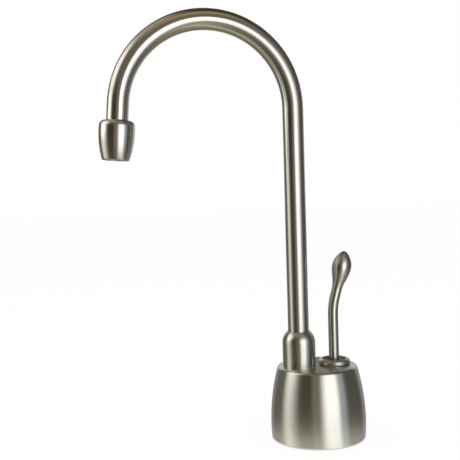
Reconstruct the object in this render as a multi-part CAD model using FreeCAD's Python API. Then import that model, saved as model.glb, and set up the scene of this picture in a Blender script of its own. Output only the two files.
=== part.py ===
import FreeCAD, Part
import os
from math import asin, cos, hypot, pi, radians, sin, sqrt, tan

V = FreeCAD.Vector

# Drinking water faucet. Millimetres and degrees.
# Origin on the sink deck at the middle of the base, +Z up.
# The spout reaches forward along -Y and the lever stands behind it at +Y.

# Base shell: a bell on the sink deck
base_foot_dia = 57.3
base_waist_inset = 0.25
base_waist_height = 22.1
base_shoulder_dia = 48.2
base_height = 44.2
base_edge_round = 1.6
base_wall = 2.6
base_roof = 3.2

# Gooseneck spout, its height from the deck to the crown
spout_height = 259.35
spout_offset = 11.4
spout_tube_dia = 12.7
spout_tube_wall = 1.0
spout_bend_radius = 52.3
spout_sweep = 175.5
spout_tail = 9.8

# Sleeve round the foot of the spout
sleeve_dia = 20.0
sleeve_height = 21.9
sleeve_straight = 14.9
sleeve_mouth_dia = 13.8
sleeve_mouth_round = 0.4
sleeve_mouth_gap = 0.2
sleeve_lip = 5.5

# Spout swivel: post on the manifold, spigot in the tube
post_dia = 17.2
post_height = 7.8
spigot_depth = 14.0
spigot_flange = 2.0
spigot_flange_dia = 16.4
spigot_grip = 8.0
spigot_bore_dia = 6.6
thrust_washer = 1.0
spout_ring_section = 1.78
spout_ring_spacing = 6.0
spout_ring_depth = 4.0

# Nozzle at the end of the tube
nozzle_length = 23.1
nozzle_top_dia = 20.2
nozzle_belly_dia = 20.84
nozzle_belly_drop = 7.0
nozzle_tip_dia = 15.5
nozzle_top_round = 3.5
nozzle_tip_round = 1.2
nozzle_lip = 1.2
nozzle_mouth_dia = 10.8
straightener_height = 4.0
straightener_hole_dia = 1.5
straightener_pitch = 2.1
screen_thickness = 0.5
screen_hole = 0.7
screen_pitch = 1.2
outlet_gasket_thickness = 2.0

# Lever and its collar
lever_offset = 11.15
collar_dia = 19.6
collar_height = 3.4
collar_edge_round = 2.1
collar_foot_round = 0.8
collar_bore_dia = 14.4
collar_bore_round = 0.3
collar_skirt_wall = 1.0
lever_rod_dia = 6.2
lever_bend_height = 30.3
lever_bend_radius = 42.0
lever_bend_angle = 15.7
lever_straight = 11.5
lever_return_radius = 60.0
lever_return_angle = 3.0
lever_neck_start = 4.4
lever_neck_length = 14.2
lever_head_dia = 11.9
lever_head_dome = 9.7
lever_tip_round = 2.75
lever_travel = 20.0

# Lever ball, its pin and the nose that works the valve
pivot_depth = 6.0
ball_gap = 0.3
ball_flat_drop = 2.8
rod_seat_above_pivot = 2.2
pivot_pin_dia = 2.5
nose_offset = 4.4
nose_drop = 2.4
nose_dia = 3.2
nose_width = 6.0
nose_gap = 0.1
nose_floor_gap = 0.6
set_screw_dia = 3.0
set_screw_height = 3.9
set_screw_recess = 0.3
set_screw_hex = 1.5
set_screw_hex_depth = 1.2

# Valve stack, from the plug at the bottom to the stem at the top
valve_bore_dia = 11.2
plug_length = 5.0
plug_hex = 5.0
plug_hex_depth = 2.5
plug_ring_section = 1.5
plug_ring_height = 3.6
spring_boss_gap = 0.5
spring_boss_height = 1.2
spring_length = 5.3
spring_mean_dia = 6.4
spring_wire_dia = 0.8
spring_turns = 3.0
plunger_flange_dia = 8.8
plunger_flange = 1.2
plunger_neck_dia = 4.0
plunger_stem_dia = 4.9
disc_thickness = 1.8
disc_gap = 0.05
seat_height = 2.65
seat_bore_dia = 6.2
seat_lip_dia = 7.6
seat_lip_height = 0.6
seat_shoulder = 0.6
outlet_chamber_height = 4.0
stem_ring_section = 0.9
stem_ring_drop = 3.6

# Manifold walls and passages
boss_wall = 1.6
valve_boss_wall = 2.6
valve_boss_drop = 2.2
rear_boss_depth = 13.0
web_width = 14.0
web_height = 14.0
inlet_boss_dia = 18.0
inlet_chamber_dia = 8.0
inlet_chamber_height = 5.0
passage_dia = 3.8
spout_passage_dia = 6.0
socket_floor_gap = 0.5
foot_height = 4.0
shell_clearance = 0.4

# Base plate, gasket and screws
gasket_thickness = 2.0
gasket_width = 5.85
plate_thickness = 3.0
plate_clearance = 0.2
screw_dia = 4.0
screw_head_dia = 7.6
screw_spacing = 29.0
screw_reach = 3.5
screw_slot = 1.0
screw_slot_depth = 1.0
screw_pad = 3.0

# Mounting shank and the clamp under the deck
shank_dia = 11.1
shank_bore_dia = 6.6
shank_grip = 7.0
shank_below = 46.0
hole_gap = 0.15
deck_thickness = 20.0
washer_dia = 32.0
rubber_washer = 2.0
steel_washer = 1.5
nut_across_flats = 17.5
nut_height = 9.5
nut_chamfer = 0.9

# Push-fit inlet on the foot of the shank
fitting_dia = 17.0
fitting_grip = 8.0
fitting_stop = 2.0
fitting_stop_bore_dia = 4.8
fitting_tube_seat = 4.0
fitting_chamber = 10.5
fitting_lip = 1.5
fitting_round = 1.0
supply_bore_dia = 6.5
collet_bore_gap = 0.05
collet_wall = 1.1
collet_barb = 0.4
collet_barb_length = 1.9
collet_flange_dia = 12.4
collet_flange = 1.6
collet_travel = 1.5
collet_stop_gap = 0.1
inlet_ring_section = 1.5

# Fits, as radial or face clearances
thread_clearance = 0.05
running_fit = 0.07
spigot_fit = 0.1
seal_clearance = 0.04

# Heights worked out from the sizes above
spout_springline = spout_height - spout_bend_radius - spout_tube_dia / 2
roof_underside = base_height - base_roof
plate_top = gasket_thickness + plate_thickness
post_top = base_height + post_height
flange_bottom = post_top + thrust_washer
flange_top = flange_bottom + spigot_flange
sleeve_top = base_height + sleeve_height
sleeve_ledge = sleeve_top - sleeve_lip
spigot_bottom = post_top - spigot_depth
pivot_z = base_height - pivot_depth
valve_y = lever_offset + nose_offset
plug_top = plate_top + plug_length
flange_seat = plug_top + spring_length
disc_bottom = flange_seat + plunger_flange
seat_bottom = disc_bottom + disc_thickness + disc_gap
seat_top = seat_bottom + seat_height
outlet_chamber_top = seat_top + outlet_chamber_height
passage_z = (seat_top + outlet_chamber_top) / 2
web_bottom = passage_z - web_height / 2
stem_top = pivot_z - nose_drop - nose_dia / 2 - nose_gap
full_tilt = radians(lever_travel)
nose_fall = nose_offset * sin(full_tilt) - nose_drop * (1 - cos(full_tilt))
pivot_floor = stem_top + nose_gap - nose_fall - nose_floor_gap
shank_top = plate_top + shank_grip
nut_top = -deck_thickness - rubber_washer - steel_washer
fitting_top = -shank_below + fitting_grip
tube_stop = -shank_below - fitting_stop
chamber_top = tube_stop - fitting_tube_seat
fitting_bottom = chamber_top - fitting_chamber - fitting_lip

# Radii used by more than one piece
tube_r = spout_tube_dia / 2
socket_r = tube_r + spigot_fit
post_r = post_dia / 2
sleeve_bore_r = post_r + thread_clearance
collar_bore_r = collar_bore_dia / 2
skirt_r = collar_bore_r + collar_skirt_wall
ball_r = collar_bore_r - ball_gap
rod_r = lever_rod_dia / 2
pin_r = pivot_pin_dia / 2
stem_r = plunger_stem_dia / 2
stem_bore_r = stem_r + running_fit
valve_bore_r = valve_bore_dia / 2
spring_boss_r = spring_mean_dia / 2 - spring_wire_dia / 2 - spring_boss_gap
shank_r = shank_dia / 2
plate_r = base_foot_dia / 2 - base_wall - plate_clearance
foot_boss_r = screw_spacing / 2 + screw_dia / 2 + screw_pad
nozzle_bore_r = tube_r + thread_clearance
small = 1e-4


def cylinder(radius, z0, z1, y=0.0, x=0.0):
    return Part.makeCylinder(radius, z1 - z0, V(x, y, z0))


def ring(inner_r, outer_r, z0, z1, y=0.0):
    return cylinder(outer_r, z0, z1, y).cut(cylinder(inner_r, z0, z1, y))


def torus_ring(inner_r, section, z, y=0.0):
    return Part.makeTorus(inner_r + section / 2, section / 2, V(0, y, z))


def turned(start, *steps):
    """Turn an outline of (radius, height) points about Z.

    A step is the next point, or a pair of points for an arc: one on the way, one at its end.
    """
    edges = []
    here = V(start[0], 0, start[1])
    for step in steps + (start,):
        if isinstance(step[0], tuple):
            way = V(step[0][0], 0, step[0][1])
            there = V(step[1][0], 0, step[1][1])
            edges.append(Part.Arc(here, way, there).toShape())
        else:
            there = V(step[0], 0, step[1])
            edges.append(Part.LineSegment(here, there).toShape())
        here = there
    face = Part.Face(Part.Wire(edges))
    return face.revolve(V(0, 0, 0), V(0, 0, 1), 360)


def rims(solid, height, radius):
    """The circular edges of a turned solid at one height and radius."""
    found = []
    for edge in solid.Edges:
        box = edge.BoundBox
        level = abs(box.ZMin - height) < small and abs(box.ZMax - height) < small
        if level and abs(box.XLength - 2 * radius) < small:
            found.append(edge)
    return found


def hexagon(across_flats, z0, z1):
    corner = across_flats / sqrt(3)
    points = []
    for step in range(7):
        angle = radians(60 * step)
        points.append(V(corner * cos(angle), corner * sin(angle), z0))
    return Part.Face(Part.makePolygon(points)).extrude(V(0, 0, z1 - z0))


def bell(inset, top):
    """The base's bell outline, drawn in by an inset and cut off at a height."""
    foot = (base_foot_dia / 2 - inset, 0.0)
    waist = (base_foot_dia / 2 - base_waist_inset - inset, base_waist_height)
    shoulder = (base_shoulder_dia / 2 - inset, base_height)
    body = turned((0.0, 0.0), foot, (waist, shoulder), (0.0, base_height))
    return body.common(cylinder(base_foot_dia, 0.0, top))


def base_shell():
    outer = bell(0.0, base_height)
    outer = outer.makeFillet(base_edge_round, rims(outer, base_height, base_shoulder_dia / 2))
    shell = outer.cut(bell(base_wall, roof_underside))
    for radius, y in ((post_r, -spout_offset), (skirt_r, lever_offset)):
        shell = shell.cut(cylinder(radius + hole_gap, roof_underside, base_height, y))
    return shell


def valve_body():
    """Brass manifold: inlet boss in the middle, valve behind, spout post in front."""
    front_r = post_r + boss_wall
    rear_r = skirt_r + boss_wall
    valve_r = valve_bore_r + valve_boss_wall
    blocks = [
        cylinder(front_r, web_bottom, roof_underside, -spout_offset),
        cylinder(rear_r, roof_underside - rear_boss_depth, roof_underside, lever_offset),
        cylinder(valve_r, plate_top, pivot_floor - valve_boss_drop, valve_y),
        Part.makeBox(web_width, valve_y + spout_offset, web_height,
                     V(-web_width / 2, -spout_offset, web_bottom)),
        cylinder(foot_boss_r, plate_top, plate_top + foot_height),
    ]
    body = cylinder(inlet_boss_dia / 2, plate_top, passage_z)
    body = body.multiFuse(blocks).removeSplitter()
    body = body.common(bell(base_wall + shell_clearance, roof_underside))
    body = body.fuse(cylinder(post_r, roof_underside - boss_wall, post_top, -spout_offset))
    inlet_z = shank_top + inlet_chamber_height / 2
    along_y = V(0, 1, 0)
    passage_r = passage_dia / 2
    hollows = [
        cylinder(socket_r, spigot_bottom - socket_floor_gap, post_top, -spout_offset),
        cylinder(spout_passage_dia / 2, passage_z, spigot_bottom, -spout_offset),
        Part.makeCylinder(passage_r, valve_y + spout_offset, V(0, -spout_offset, passage_z), along_y),
        Part.makeCylinder(passage_r, valve_y, V(0, 0, inlet_z), along_y),
        cylinder(shank_r + thread_clearance, plate_top, shank_top),
        cylinder(inlet_chamber_dia / 2, shank_top, shank_top + inlet_chamber_height),
        cylinder(valve_bore_r, plate_top, seat_top, valve_y),
        cylinder(valve_bore_r - seat_shoulder, seat_top, outlet_chamber_top, valve_y),
        cylinder(stem_bore_r, outlet_chamber_top, pivot_floor, valve_y),
        cylinder(collar_bore_r, pivot_floor, roof_underside, lever_offset),
        cylinder(skirt_r + thread_clearance, pivot_z, roof_underside, lever_offset),
        pin_shape(thread_clearance),
    ]
    for side in (-1, 1):
        x = side * screw_spacing / 2
        hollows.append(cylinder(screw_dia / 2, plate_top, plate_top + screw_reach, 0.0, x))
    return body.cut(hollows[0].multiFuse(hollows[1:]))


def pin_shape(clearance):
    """The pivot pin, or with a clearance the groove it lies in."""
    half = skirt_r - thread_clearance + clearance
    return Part.makeCylinder(pin_r + clearance, 2 * half, V(-half, lever_offset, pivot_z), V(1, 0, 0))


def spout_sleeve():
    """Bottle-shouldered sleeve, screwed down on the post over the base's top."""
    outer_r = sleeve_dia / 2
    mouth_r = sleeve_mouth_dia / 2
    rise = sleeve_height - sleeve_straight
    fall = outer_r - mouth_r
    shoulder_radius = (rise ** 2 + fall ** 2) / (2 * fall)
    half_turn = asin(rise / shoulder_radius) / 2
    shoulder_z = base_height + sleeve_straight
    way = (outer_r - shoulder_radius * (1 - cos(half_turn)), shoulder_z + shoulder_radius * sin(half_turn))
    sleeve = turned((0.0, base_height), (outer_r, base_height), (outer_r, shoulder_z),
                    (way, (mouth_r, sleeve_top)), (0.0, sleeve_top))
    sleeve = sleeve.makeFillet(sleeve_mouth_round, rims(sleeve, sleeve_top, mouth_r))
    sleeve = sleeve.cut(cylinder(tube_r + sleeve_mouth_gap, base_height, sleeve_top))
    sleeve = sleeve.cut(cylinder(sleeve_bore_r, base_height, sleeve_ledge))
    sleeve.translate(V(0, -spout_offset, 0))
    return sleeve


def spout_thrust_washer():
    return ring(socket_r, spigot_flange_dia / 2, post_top, flange_bottom, -spout_offset)


def spout_bush():
    """Acetal bush that guides the tube under the sleeve's lip."""
    return ring(tube_r + running_fit, post_r, flange_top + running_fit, sleeve_ledge, -spout_offset)


def outlet_frame(shape):
    """Carry a shape drawn down -Z from the origin to the end of the bend."""
    lean = spout_sweep - 180
    shape.rotate(V(0, 0, 0), V(1, 0, 0), lean)
    end = radians(spout_sweep)
    y = -spout_offset - spout_bend_radius + spout_bend_radius * cos(end)
    z = spout_springline + spout_bend_radius * sin(end)
    shape.translate(V(0, y, z))
    return shape


def annulus(y, z):
    faces = []
    for radius in (tube_r, tube_r - spout_tube_wall):
        circle = Part.makeCircle(radius, V(0, y, z), V(0, 0, 1))
        faces.append(Part.Face(Part.Wire(circle)))
    return faces[0].cut(faces[1]).Faces[0]


def tube_end():
    """How far below the bend the tube ends, inside the nozzle."""
    stack = nozzle_lip + straightener_height + screen_thickness + outlet_gasket_thickness
    return spout_tail + nozzle_length - stack


def gooseneck_tube():
    leg = annulus(-spout_offset, flange_top).extrude(V(0, 0, spout_springline - flange_top))
    centre = V(0, -spout_offset - spout_bend_radius, spout_springline)
    bend = annulus(-spout_offset, spout_springline).revolve(centre, V(1, 0, 0), spout_sweep)
    tail = outlet_frame(annulus(0.0, 0.0).extrude(V(0, 0, -tube_end())))
    return leg.multiFuse([bend, tail]).removeSplitter()


def spout_ring_heights():
    first = spigot_bottom + spout_ring_depth
    return (first, first + spout_ring_spacing)


def spout_spigot():
    """Brazed in the foot of the tube. It turns in the post on two O-rings."""
    groove_r = socket_r - seal_clearance - spout_ring_section
    spigot = cylinder(tube_r, spigot_bottom, flange_bottom)
    spigot = spigot.fuse(cylinder(spigot_flange_dia / 2, flange_bottom, flange_top))
    grip_r = tube_r - spout_tube_wall - seal_clearance
    spigot = spigot.fuse(cylinder(grip_r, flange_top, flange_top + spigot_grip))
    for z in spout_ring_heights():
        half = spout_ring_section / 2 + seal_clearance
        spigot = spigot.cut(ring(groove_r - seal_clearance, tube_r + small, z - half, z + half))
    spigot = spigot.cut(cylinder(spigot_bore_dia / 2, spigot_bottom, flange_top + spigot_grip))
    spigot.translate(V(0, -spout_offset, 0))
    return spigot.removeSplitter()


def spout_o_rings():
    inner_r = socket_r - seal_clearance - spout_ring_section
    rings = [torus_ring(inner_r, spout_ring_section, z, -spout_offset) for z in spout_ring_heights()]
    return Part.makeCompound(rings)


def nozzle_housing():
    """Barrel screwed on the end of the tube."""
    top = -spout_tail
    tip = top - nozzle_length
    belly = (nozzle_belly_dia / 2, top - nozzle_belly_drop)
    tip_r = nozzle_tip_dia / 2
    barrel = turned((0.0, top), (nozzle_top_dia / 2, top), (belly, (tip_r, tip)), (0.0, tip))
    barrel = barrel.makeFillet(nozzle_top_round, rims(barrel, top, nozzle_top_dia / 2))
    barrel = barrel.makeFillet(nozzle_tip_round, rims(barrel, tip, tip_r))
    barrel = barrel.cut(cylinder(nozzle_bore_r, tip + nozzle_lip, top))
    barrel = barrel.cut(cylinder(nozzle_mouth_dia / 2, tip, tip + nozzle_lip))
    return outlet_frame(barrel)


def stream_straightener():
    """Moulded disc with rings of straight holes, seated on the nozzle's lip."""
    bottom = -spout_tail - nozzle_length + nozzle_lip
    top = bottom + straightener_height
    hole_r = straightener_hole_dia / 2
    holes = [cylinder(hole_r, bottom, top)]
    for number in (1, 2):
        around = 6 * number
        for step in range(around):
            angle = 2 * pi * step / around
            radius = straightener_pitch * number
            holes.append(cylinder(hole_r, bottom, top, radius * sin(angle), radius * cos(angle)))
    disc = cylinder(tube_r, bottom, top)
    return outlet_frame(disc.cut(Part.makeCompound(holes)))


def mesh_screen():
    """Steel screen over the straightener, with square holes."""
    bottom = -spout_tail - nozzle_length + nozzle_lip + straightener_height
    open_r = tube_r - spout_tube_wall
    count = int(open_r / screen_pitch)
    holes = []
    for column in range(-count, count + 1):
        for row in range(-count, count + 1):
            x = column * screen_pitch
            y = row * screen_pitch
            if hypot(x, y) + screen_hole < open_r:
                corner = V(x - screen_hole / 2, y - screen_hole / 2, bottom)
                holes.append(Part.makeBox(screen_hole, screen_hole, screen_thickness, corner))
    disc = cylinder(tube_r, bottom, bottom + screen_thickness)
    return outlet_frame(disc.cut(Part.makeCompound(holes)))


def outlet_gasket():
    top = -tube_end()
    return outlet_frame(ring(tube_r - spout_tube_wall, tube_r, top - outlet_gasket_thickness, top))


def lever_collar():
    """Flanged ring: its skirt screws into the manifold and holds the pivot pin down."""
    top = base_height + collar_height
    skirt_bottom = pivot_z + pin_r + thread_clearance
    flange_r = collar_dia / 2
    collar = turned((collar_bore_r, skirt_bottom), (skirt_r, skirt_bottom), (skirt_r, base_height),
                    (flange_r, base_height), (flange_r, top), (collar_bore_r, top))
    collar = collar.makeFillet(collar_edge_round, rims(collar, top, flange_r))
    collar = collar.makeFillet(collar_foot_round, rims(collar, base_height, flange_r))
    collar = collar.makeFillet(collar_bore_round, rims(collar, top, collar_bore_r))
    collar.translate(V(0, lever_offset, 0))
    return collar


def lever_pivot_pin():
    return pin_shape(0.0)


def lever_ball():
    """Ball on the pivot pin. A nose under it pushes the valve's stem down."""
    centre = V(0, lever_offset, pivot_z)
    flat_z = pivot_z - ball_flat_drop
    ball = Part.makeSphere(ball_r, centre)
    ball = ball.cut(cylinder(2 * ball_r, pivot_z - 2 * ball_r, flat_z, lever_offset))
    nose_start = V(-nose_width / 2, valve_y, pivot_z - nose_drop)
    ball = ball.fuse(Part.makeCylinder(nose_dia / 2, nose_width, nose_start, V(1, 0, 0)))
    rod_hole_r = rod_r + thread_clearance
    ball = ball.cut(cylinder(rod_hole_r, pivot_z + rod_seat_above_pivot, pivot_z + 2 * ball_r, lever_offset))
    ball = ball.cut(pin_shape(running_fit))
    return ball.cut(set_screw_blank(2 * ball_r)).removeSplitter()


def set_screw_blank(length):
    """A bar the size of the set screw, from the rod's side towards the front."""
    start = V(0, lever_offset - rod_r, pivot_z + set_screw_height)
    return Part.makeCylinder(set_screw_dia / 2, length, start, V(0, -1, 0))


def lever_set_screw():
    length = sqrt(ball_r ** 2 - set_screw_height ** 2) - rod_r - set_screw_recess
    socket = hexagon(set_screw_hex, 0.0, set_screw_hex_depth)
    socket.rotate(V(0, 0, 0), V(1, 0, 0), -90)
    socket.translate(V(0, lever_offset - rod_r - length, pivot_z + set_screw_height))
    return set_screw_blank(length).cut(socket)


def lever_path(station):
    """Point and lean of the rod's axis, a distance along it past the start of its bend."""
    first = radians(lever_bend_angle)
    last = first - radians(lever_return_angle)
    bend_length = lever_bend_radius * first
    return_length = lever_return_radius * radians(lever_return_angle)
    y = lever_offset
    z = base_height + lever_bend_height
    lean = min(station, bend_length) / lever_bend_radius
    y += lever_bend_radius * (1 - cos(lean))
    z += lever_bend_radius * sin(lean)
    run = min(max(station - bend_length, 0.0), lever_straight)
    y += run * sin(first)
    z += run * cos(first)
    back = min(max(station - bend_length - lever_straight, 0.0), return_length)
    if back > 0:
        lean = first - back / lever_return_radius
        y += lever_return_radius * (cos(lean) - cos(first))
        z += lever_return_radius * (sin(first) - sin(lean))
    end = max(station - bend_length - lever_straight - return_length, 0.0)
    y += end * sin(last)
    z += end * cos(last)
    return V(0, y, z), V(0, sin(lean), cos(lean))


def lever_handle():
    """Rod with an S-bend that swells into a teardrop head."""
    seat = pivot_z + rod_seat_above_pivot
    bend_z = base_height + lever_bend_height
    rod = cylinder(rod_r, seat, bend_z, lever_offset)
    disc = Part.Face(Part.Wire(Part.makeCircle(rod_r, V(0, lever_offset, bend_z), V(0, 0, 1))))
    pole = V(0, lever_offset + lever_bend_radius, bend_z)
    bend = disc.revolve(pole, V(-1, 0, 0), lever_bend_angle)
    neck_station = lever_bend_radius * radians(lever_bend_angle)
    start, lean = lever_path(neck_station)
    straight = Part.makeCylinder(rod_r, lever_neck_start, start, lean)
    neck_station += lever_neck_start
    head_r = lever_head_dia / 2
    sections = []
    steps = 7
    for step in range(steps):
        share = step / (steps - 1)
        swell = share ** 2 * (3 - 2 * share)
        point, lean = lever_path(neck_station + share * lever_neck_length)
        circle = Part.makeCircle(rod_r + swell * (head_r - rod_r), point, lean)
        sections.append(Part.Wire(circle))
    neck = Part.makeLoft(sections, True)
    dome = lever_dome(head_r, point, lean)
    return rod.multiFuse([bend, straight, neck, dome]).removeSplitter()


def lever_dome(head_r, point, lean):
    """Pointed top of the head: two arcs that meet smoothly, turned about the rod's axis."""
    reach = lever_head_dome - lever_tip_round
    slack = head_r - lever_tip_round
    side_radius = (slack * (head_r + lever_tip_round) + reach ** 2) / (2 * slack)
    turn = asin(reach / (side_radius - lever_tip_round))
    centre_r = head_r - side_radius
    half = turn / 2
    way = (centre_r + side_radius * cos(half), side_radius * sin(half))
    join = (centre_r + side_radius * cos(turn), side_radius * sin(turn))
    half = (turn + pi / 2) / 2
    tip_way = (lever_tip_round * cos(half), reach + lever_tip_round * sin(half))
    tip = (0.0, lever_head_dome)
    dome = turned((0.0, 0.0), (head_r, 0.0), (way, join), (tip_way, tip))
    dome.Placement = FreeCAD.Placement(point, FreeCAD.Rotation(V(0, 0, 1), lean))
    return dome


def valve_plunger():
    """Stem that the lever's nose pushes down, with the flange that carries the disc."""
    disc_top = disc_bottom + disc_thickness
    plunger = cylinder(plunger_flange_dia / 2, flange_seat, disc_bottom)
    plunger = plunger.fuse(cylinder(spring_boss_r, flange_seat - spring_boss_height, flange_seat))
    plunger = plunger.fuse(cylinder(plunger_neck_dia / 2, disc_bottom, disc_top))
    plunger = plunger.fuse(cylinder(stem_r, disc_top, stem_top))
    half = stem_ring_section / 2 + seal_clearance
    groove_z = stem_ring_z()
    groove = ring(stem_ring_inner_r() - seal_clearance, stem_bore_r, groove_z - half, groove_z + half)
    plunger = plunger.cut(groove)
    plunger.translate(V(0, valve_y, 0))
    return plunger.removeSplitter()


def stem_ring_z():
    return pivot_floor - stem_ring_drop


def stem_ring_inner_r():
    return stem_bore_r - seal_clearance - stem_ring_section


def stem_o_ring():
    return torus_ring(stem_ring_inner_r(), stem_ring_section, stem_ring_z(), valve_y)


def valve_disc():
    return ring(plunger_neck_dia / 2, plunger_flange_dia / 2, disc_bottom, disc_bottom + disc_thickness, valve_y)


def valve_seat():
    """Brass ring pressed up against the outlet chamber, with a raised lip for the disc."""
    lip_top = seat_bottom + seat_lip_height
    seat = turned((seat_bore_dia / 2, seat_bottom), (seat_lip_dia / 2, seat_bottom), (seat_lip_dia / 2, lip_top),
                  (valve_bore_r, lip_top), (valve_bore_r, seat_top), (seat_bore_dia / 2, seat_top))
    seat.translate(V(0, valve_y, 0))
    return seat


def valve_bottom_plug():
    """Screwed plug under the spring, with a hex socket and an O-ring groove."""
    plug_r = valve_bore_r - thread_clearance
    plug = cylinder(plug_r, plate_top, plug_top)
    plug = plug.fuse(cylinder(spring_boss_r, plug_top, plug_top + spring_boss_height))
    plug = plug.cut(hexagon(plug_hex, plate_top, plate_top + plug_hex_depth))
    z = plate_top + plug_ring_height
    half = plug_ring_section / 2 + seal_clearance
    plug = plug.cut(ring(plug_ring_inner_r() - seal_clearance, plug_r + small, z - half, z + half))
    plug.translate(V(0, valve_y, 0))
    return plug.removeSplitter()


def plug_ring_inner_r():
    return valve_bore_r - seal_clearance - plug_ring_section


def plug_o_ring():
    return torus_ring(plug_ring_inner_r(), plug_ring_section, plate_top + plug_ring_height, valve_y)


def coil_point(turn):
    """Point and direction on the spring's wire after a number of turns."""
    radius = spring_mean_dia / 2
    rise = (spring_length - spring_wire_dia - 2 * seal_clearance) / spring_turns
    angle = 2 * pi * turn
    z = plug_top + spring_wire_dia / 2 + seal_clearance + rise * turn
    point = V(radius * cos(angle), valve_y + radius * sin(angle), z)
    heading = V(-radius * sin(angle), radius * cos(angle), rise / (2 * pi))
    return point, heading.normalize()


def biarc(start, start_way, end, end_way):
    """Two arcs that meet smoothly, from one point and heading to another."""
    span = end - start
    both = start_way + end_way
    turn = 2 * (1 - start_way.dot(end_way))
    reach = (sqrt(span.dot(both) ** 2 + turn * span.dot(span)) - span.dot(both)) / turn
    first = start + start_way * reach
    second = end - end_way * reach
    middle = (first + second) * 0.5
    arcs = []
    for low, corner, high in ((start, first, middle), (middle, second, end)):
        centre = (low + high) * 0.5
        half = (high - low).Length / 2
        height = (corner - centre).Length
        bow = half * (sqrt(half ** 2 + height ** 2) - half) / height
        way = centre + (corner - centre).normalize() * bow
        arcs.append(Part.Arc(low, way, high).toShape())
    return arcs


def valve_return_spring():
    edges = []
    quarters = int(round(4 * spring_turns))
    for step in range(quarters):
        start, start_way = coil_point(step / 4)
        end, end_way = coil_point((step + 1) / 4)
        edges += biarc(start, start_way, end, end_way)
    start, start_way = coil_point(0)
    section = Part.Wire(Part.makeCircle(spring_wire_dia / 2, start, start_way))
    spring = Part.Wire(edges).makePipeShell([section], True, False)
    print("spring: least gap between turns", round(coil_gap(), 2), "mm")
    return spring


def coil_gap():
    """Least distance between turns of the wire, measured on points along it."""
    per_turn = 24
    points = [coil_point(step / per_turn)[0] for step in range(int(per_turn * spring_turns) + 1)]
    least = spring_mean_dia
    for index, point in enumerate(points):
        for other in points[index + per_turn // 2:]:
            least = min(least, (other - point).Length)
    return least - spring_wire_dia


def base_plate():
    """Steel plate that closes the base and carries the gasket."""
    plate = ring(shank_r + hole_gap, plate_r, gasket_thickness, plate_top)
    for side in (-1, 1):
        plate = plate.cut(screw_shape(side, thread_clearance))
    return plate


def screw_shape(side, clearance):
    """Countersunk screw, or with a clearance the hole it goes in."""
    head_r = screw_head_dia / 2 + clearance
    shaft_r = screw_dia / 2 + clearance
    cone_top = gasket_thickness + head_r - shaft_r
    end = plate_top + screw_reach
    screw = turned((0.0, gasket_thickness), (head_r, gasket_thickness), (shaft_r, cone_top), (shaft_r, end), (0.0, end))
    screw.translate(V(side * screw_spacing / 2, 0, 0))
    return screw


def base_plate_screws():
    screws = []
    for side in (-1, 1):
        slot = Part.makeBox(screw_head_dia, screw_slot, screw_slot_depth)
        slot.translate(V(side * screw_spacing / 2 - screw_head_dia / 2, -screw_slot / 2, gasket_thickness))
        screws.append(screw_shape(side, 0.0).cut(slot))
    return Part.makeCompound(screws)


def deck_gasket():
    return ring(plate_r - gasket_width, plate_r, 0.0, gasket_thickness)


def mounting_shank():
    return ring(shank_bore_dia / 2, shank_r, -shank_below, shank_top)


def rubber_deck_washer():
    return ring(shank_r + hole_gap, washer_dia / 2, -deck_thickness - rubber_washer, -deck_thickness)


def steel_deck_washer():
    return ring(shank_r + hole_gap, washer_dia / 2, nut_top, nut_top + steel_washer)


def mounting_nut():
    """Hex nut with turned corners."""
    bottom = nut_top - nut_height
    corner_r = nut_across_flats / sqrt(3)
    face_r = nut_across_flats / 2
    slope = nut_chamfer * tan(radians(30))
    blank = turned((0.0, bottom), (face_r, bottom), (corner_r, bottom + slope + nut_chamfer),
                   (corner_r, nut_top - slope - nut_chamfer), (face_r, nut_top), (0.0, nut_top))
    nut = hexagon(nut_across_flats, bottom, nut_top).common(blank)
    return nut.cut(cylinder(shank_r + thread_clearance, bottom, nut_top))


def inlet_fitting():
    """Moulded push-fit body screwed on the foot of the shank."""
    outer_r = fitting_dia / 2
    body = cylinder(outer_r, fitting_bottom, fitting_top)
    body = body.makeFillet(fitting_round, rims(body, fitting_bottom, outer_r) + rims(body, fitting_top, outer_r))
    tube = supply_bore_dia / 2
    hollows = [
        cylinder(shank_r + thread_clearance, -shank_below, fitting_top),
        cylinder(fitting_stop_bore_dia / 2, tube_stop, -shank_below),
        cylinder(tube, chamber_top, tube_stop),
        cylinder(fitting_chamber_r(), chamber_top - fitting_chamber, chamber_top),
        cylinder(collet_r() + running_fit, fitting_bottom, chamber_top - fitting_chamber),
    ]
    return body.cut(hollows[0].multiFuse(hollows[1:]))


def collet_r():
    return supply_bore_dia / 2 + collet_bore_gap + collet_wall


def fitting_chamber_r():
    return collet_r() + collet_barb + running_fit


def inlet_collet():
    """Release ring: pushed up, it frees the supply tube."""
    bore_r = supply_bore_dia / 2 + collet_bore_gap
    barb_bottom = chamber_top - fitting_chamber + collet_stop_gap
    barb_top = barb_bottom + collet_barb_length
    flange_top_z = fitting_bottom - collet_travel - collet_stop_gap
    collet = ring(bore_r, collet_r(), flange_top_z, barb_bottom)
    collet = collet.fuse(ring(bore_r, collet_r() + collet_barb, barb_bottom, barb_top))
    collet = collet.fuse(ring(bore_r, collet_flange_dia / 2, flange_top_z - collet_flange, flange_top_z))
    return collet.removeSplitter()


def inlet_o_ring():
    inner_r = fitting_chamber_r() - seal_clearance - inlet_ring_section
    return torus_ring(inner_r, inlet_ring_section, chamber_top - inlet_ring_section / 2 - seal_clearance)


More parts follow.
